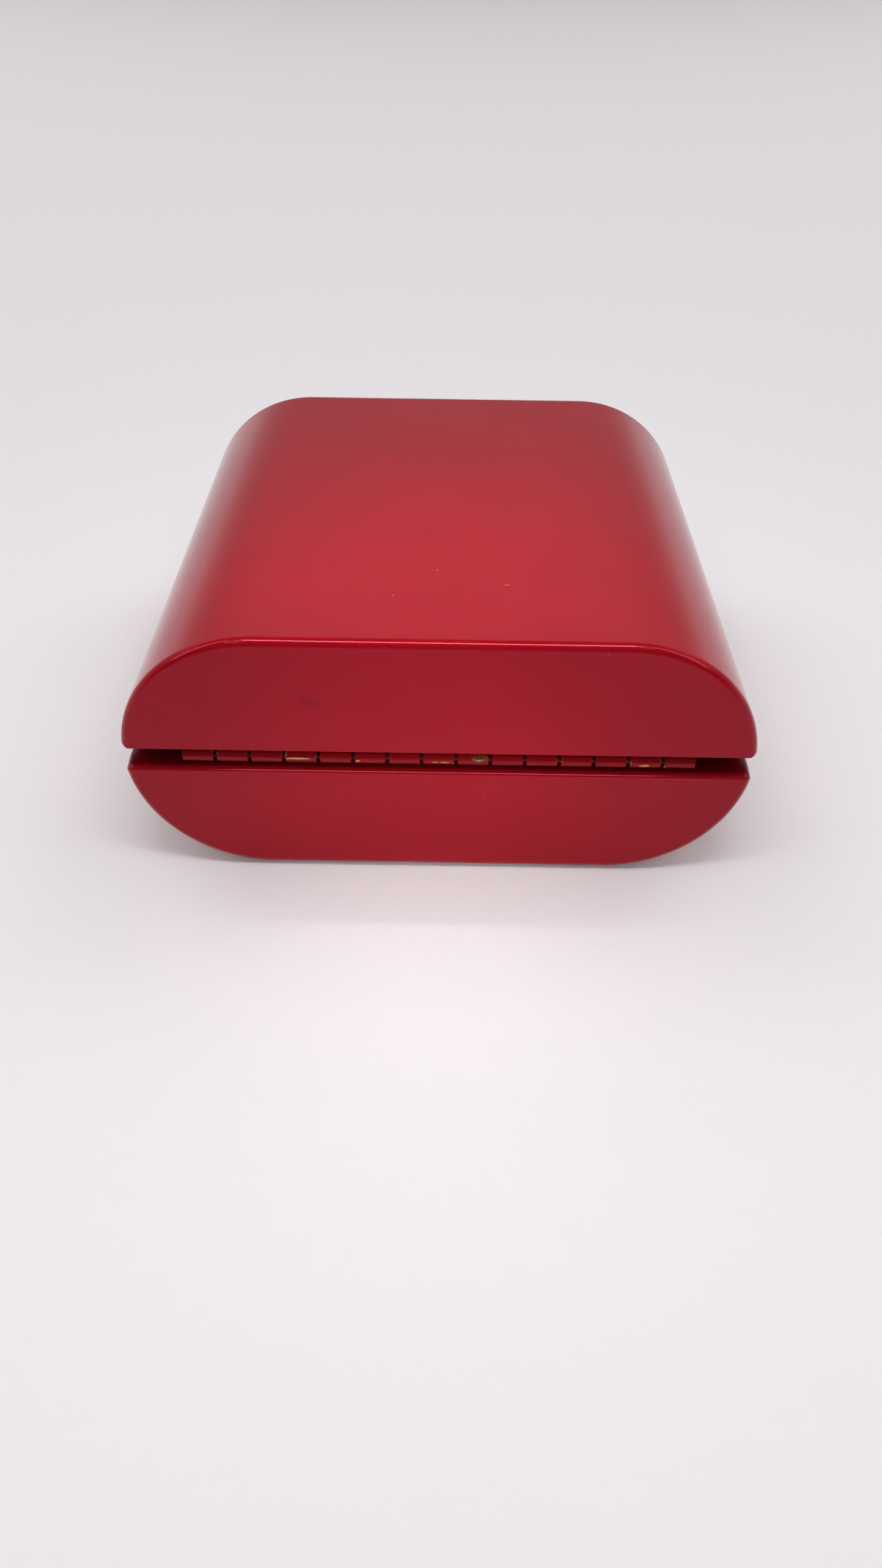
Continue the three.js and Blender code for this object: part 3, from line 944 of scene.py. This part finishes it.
def worn_paint():
    """Red paint over brass, rubbed through in a few places on the knuckles and chipped along their ends."""
    finish = Finish("worn_paint")
    finish.set("Specular IOR Level", 0.5)
    finish.set("Specular Tint", PAINT_GLOSS)
    drawn_out = finish.vector("MULTIPLY", finish.place, (0.4, 1.0, 1.6))
    ragged = finish.fit(finish.noise(2200.0, detail=4.0, roughness=0.65, place=drawn_out), 0.3, 0.7)
    worn = 0.0
    for place, reach in BRASS_PLACES:
        worn = finish.math("MAXIMUM", finish.spots([place], reach), worn)
    worn = finish.fit(finish.math("ADD", worn, ragged), 1.12, 1.24)
    worn = finish.math("MAXIMUM", worn, chipped_ends(finish))
    red = finish.mix(finish.noise(scale=300.0), PAINT_DEEP, PAINT_BRIGHT)
    metal = finish.mix(finish.noise(scale=900.0), WORN_BRASS_DULL, WORN_BRASS_BRIGHT)
    finish.feed("Base Color", finish.mix(worn, red, metal))
    finish.feed("Metallic", worn)
    finish.feed("Roughness", finish.fit(worn, 0.0, 1.0, 0.26, 0.36))
    height = finish.math("SUBTRACT", finish.times(finish.noise(scale=700.0), 0.3), worn)
    finish.bump(height, strength=0.5, distance=0.05 * MM)
    return finish.material


def pin_paint_with_painted_shade():
    """Thin paint on the pin, darkened in blotches as painted shade deep between the knuckles."""
    # the pin's paint, darker than the leaves' paint as painted shade
    paint = (0.060, 0.0016, 0.003)
    deepest_shade = (0.012, 0.003, 0.003)
    finish = Finish("pin_paint_with_painted_shade")
    shade_blotches = finish.fit(finish.noise(scale=800.0, detail=3.0, roughness=0.6), 0.35, 0.7)
    finish.feed("Base Color", finish.mix(shade_blotches, paint, deepest_shade))
    finish.feed("Roughness", finish.fit(shade_blotches, 0.0, 1.0, 0.4, 0.75))
    finish.bump(shade_blotches, strength=0.3, distance=0.03 * MM)
    return finish.material


def satin_brass():
    """Satin brass with fine grain and a little tarnish."""
    clean = (0.62, 0.45, 0.17)
    dull = (0.40, 0.26, 0.08)
    finish = Finish("satin_brass", Metallic=1.0)
    tarnish = finish.fit(finish.noise(scale=500.0, detail=3.0), 0.35, 0.75)
    finish.feed("Base Color", finish.mix(tarnish, clean, dull))
    finish.feed("Roughness", finish.fit(tarnish, 0.0, 1.0, 0.26, 0.45))
    finish.bump(finish.noise(scale=4000.0), strength=0.15, distance=0.02 * MM)
    return finish.material


def nickel_plate():
    """Bright plating with hairline rubbing from closing the box."""
    bright = (0.66, 0.65, 0.63)
    dull = (0.56, 0.55, 0.53)
    finish = Finish("nickel_plate", Metallic=1.0)
    stretched = finish.vector("MULTIPLY", finish.place, (6.0, 1.0, 1.0))
    rubbed = finish.fit(finish.noise(1400.0, detail=3.0, roughness=0.6, place=stretched), 0.4, 0.7)
    finish.feed("Base Color", finish.mix(rubbed, bright, dull))
    finish.feed("Roughness", finish.fit(rubbed, 0.0, 1.0, 0.16, 0.34))
    finish.bump(rubbed, strength=0.08, distance=0.01 * MM)
    return finish.material


def black_velvet():
    """Short charcoal pile that catches the light at its edges and where it has been brushed."""
    dark = (0.014, 0.014, 0.016)
    pale = (0.030, 0.030, 0.033)
    tips = (0.042, 0.042, 0.046)
    finish = Finish("black_velvet", Roughness=0.95)
    finish.set("Specular IOR Level", 0.1)
    finish.set("Sheen Weight", 0.7)
    finish.set("Sheen Roughness", 0.35)
    finish.set("Sheen Tint", (0.62, 0.62, 0.68, 1))
    brushed = finish.fit(finish.noise(scale=70.0, detail=3.0, roughness=0.55), 0.35, 0.65)
    pile = finish.noise(scale=3200.0, roughness=0.7)
    charcoal = finish.mix(brushed, dark, pale)
    finish.feed("Base Color", finish.mix(finish.fit(pile, 0.3, 0.7), charcoal, tips))
    height = finish.math("ADD", pile, finish.times(brushed, 0.6))
    finish.bump(height, strength=0.55, distance=0.15 * MM)
    return finish.material


def pressed_felt():
    """Matted dark wool, with stray paler fibres."""
    dark = (0.010, 0.010, 0.011)
    pale = (0.022, 0.022, 0.024)
    stray = (0.05, 0.05, 0.053)
    finish = Finish("pressed_felt", Roughness=1.0)
    finish.set("Specular IOR Level", 0.1)
    finish.set("Sheen Weight", 0.25)
    finish.set("Sheen Roughness", 0.5)
    twisted = finish.vector("MULTIPLY", finish.place, (1.0, 3.0, 1.0))
    fibres = finish.noise(1100.0, detail=4.0, roughness=0.7, place=twisted)
    matted = finish.noise(scale=260.0, detail=3.0)
    wool = finish.mix(matted, dark, pale)
    finish.feed("Base Color", finish.mix(finish.fit(fibres, 0.55, 0.75), wool, stray))
    finish.bump(finish.math("ADD", fibres, matted), strength=0.6, distance=0.2 * MM)
    return finish.material


def dress(material, *pieces):
    for piece in pieces:
        piece.data.materials.clear()
        piece.data.materials.append(material)


dress(red_lacquer(), lid_wood, base_wood)
dress(worn_paint(), lid_leaf, base_leaf)
# painted shade: the pin is coloured dark to stand in for the shade in the gaps between the knuckles
dress(pin_paint_with_painted_shade(), pin)
dress(satin_brass(), *screws)
dress(nickel_plate(), *magnets)
dress(black_velvet(), *linings, *cushions)
dress(pressed_felt(), felt)


# Camera, where the photograph was taken from

CAMERA_PLACE = (-0.9 * MM, 208.2 * MM, 151.0 * MM)
CAMERA_PITCH = 40.09  # degrees below level
CAMERA_HEADING = 180 + 0.16
CAMERA_ROLL = 0.80
CAMERA_NEAREST = 5 * MM
IMAGE_HEIGHT = 2133
FOCAL_PIXELS = 1504
SENSOR = 36.0

camera_data = bpy.data.cameras.new("camera")
camera = bpy.data.objects.new("camera", camera_data)
bpy.context.scene.collection.objects.link(camera)
camera_data.sensor_width = SENSOR
camera_data.lens = FOCAL_PIXELS / IMAGE_HEIGHT * SENSOR
camera_data.clip_start = CAMERA_NEAREST
camera.location = CAMERA_PLACE
aim = Euler((math.radians(90 - CAMERA_PITCH), 0, math.radians(CAMERA_HEADING))).to_matrix()
roll = Euler((0, 0, math.radians(CAMERA_ROLL))).to_matrix()
camera.rotation_euler = (aim @ roll).to_euler()
bpy.context.scene.camera = camera


# Stage: pale floor and soft light

FLOOR_RADIUS = 2.6
FLOOR_EDGES = 96
FLOOR_COLOR = (0.82, 0.791, 0.81)
ROOM_COLOR = (1.0, 0.985, 1.0)
# Brightness of the room by height: 0 at the horizon, 1 overhead
ROOM_HEIGHTS = (
    (0.0, 0.88), (0.05, 0.8), (0.1, 0.66), (0.16, 0.53), (0.22, 0.46), (0.3, 0.42),
    (0.42, 0.5), (0.55, 0.76), (0.66, 0.64), (0.78, 0.15), (1.0, 0.05),
)
ROOM_STRENGTH = 0.8
ROOM_NEAR = 0.1  # strength behind the camera, as a share of that beyond the box
ROOM_TURN = 0.7  # how far round towards the camera's side that share is reached
BOX_MIDDLE = (0, 0, 0.02)

bpy.ops.object.select_all(action="DESELECT")
bpy.ops.mesh.primitive_circle_add(vertices=FLOOR_EDGES, radius=FLOOR_RADIUS, fill_type="NGON")
floor = bpy.context.object
floor.name = "floor"
paper = Finish("floor_paper", Base_Color=(*FLOOR_COLOR, 1), Roughness=0.9)
paper.set("Specular IOR Level", 0.1)
dress(paper.material, floor)


def studio_room():
    """Soft light from all round: a pale wall beyond the box, and a dark room behind the camera."""
    world = bpy.data.worlds.new("studio")
    world.use_nodes = True
    tree = world.node_tree
    background = tree.nodes["Background"]
    background.inputs["Color"].default_value = (*ROOM_COLOR, 1)
    direction = tree.nodes.new("ShaderNodeTexCoord")
    split = tree.nodes.new("ShaderNodeSeparateXYZ")
    tree.links.new(direction.outputs["Generated"], split.inputs["Vector"])
    wall = tree.nodes.new("ShaderNodeValToRGB")
    stops = wall.color_ramp.elements
    while len(stops) < len(ROOM_HEIGHTS):
        stops.new(1.0)
    for stop, (height, bright) in zip(stops, ROOM_HEIGHTS):
        stop.position = height
        stop.color = (bright, bright, bright, 1)
    tree.links.new(split.outputs["Z"], wall.inputs["Fac"])
    behind = tree.nodes.new("ShaderNodeMapRange")
    behind.interpolation_type = "SMOOTHSTEP"
    behind.inputs["From Min"].default_value = 0.0
    behind.inputs["From Max"].default_value = ROOM_TURN
    behind.inputs["To Min"].default_value = ROOM_STRENGTH
    behind.inputs["To Max"].default_value = ROOM_STRENGTH * ROOM_NEAR
    tree.links.new(split.outputs["Y"], behind.inputs["Value"])
    strength = tree.nodes.new("ShaderNodeMath")
    strength.operation = "MULTIPLY"
    tree.links.new(wall.outputs["Color"], strength.inputs[0])
    tree.links.new(behind.outputs["Result"], strength.inputs[1])
    tree.links.new(strength.outputs["Value"], background.inputs["Strength"])
    bpy.context.scene.world = world


def soft_light(name, place, size, power, aim=BOX_MIDDLE, spread=180, reflected=True, lighting=True):
    """A soft panel turned to what it is aimed at. It can be left out of reflections, or only show in them."""
    data = bpy.data.lights.new(name, "AREA")
    data.shape = "RECTANGLE"
    data.size, data.size_y = size
    data.energy = power
    data.spread = math.radians(spread)
    panel = bpy.data.objects.new(name, data)
    panel.location = place
    panel.rotation_euler = (Vector(aim) - Vector(place)).to_track_quat("-Z", "Y").to_euler()
    panel.visible_camera = False
    panel.visible_glossy = reflected
    panel.visible_diffuse = lighting
    bpy.context.scene.collection.objects.link(panel)


STRIP = (0.16, 0.034)
UPRIGHT_STRIP = (0.034, 0.16)
SMALL_PANEL = (0.03, 0.03)
BACK_MIDDLE = (0, BACK, 0.018)
CROWN_MIDDLE = (0, 0.02, lid_high.z)

studio_room()
soft_light("key_panel", (0, 0.105, 0.225), STRIP, power=0.17)
soft_light("gleam_panel", (0, 0.106, 0.227), STRIP, power=0.13, lighting=False)
for side in (-1, 1):
    soft_light("side_panel", (side * 0.17, 0.105, 0.19), UPRIGHT_STRIP, power=0.07, lighting=False)
    below = (side * 1.9, -1.6, 0)
    soft_light("wall_panel", (side * 1.9, -1.6, 1.3), (2.6, 2.4), power=19.0, aim=below, reflected=False)
soft_light("fill_panel", (0, 0.5, 0.26), SMALL_PANEL, 0.0058, BACK_MIDDLE, spread=13, reflected=False)
soft_light("crown_panel", (0, -0.1, 0.55), SMALL_PANEL, 0.0047, CROWN_MIDDLE, spread=12, reflected=False)
soft_light("top_panel", (0, -0.05, 0.8), (0.9, 0.7), power=0.5, reflected=False)
soft_light("front_panel", (0, 1.1, 1.2), (1.6, 0.8), power=4.3, reflected=False)
soft_light("ceiling_panel", (0, -0.4, 1.6), (5.0, 1.5), power=21.5, reflected=False)

bpy.context.scene.view_settings.view_transform = "Standard"
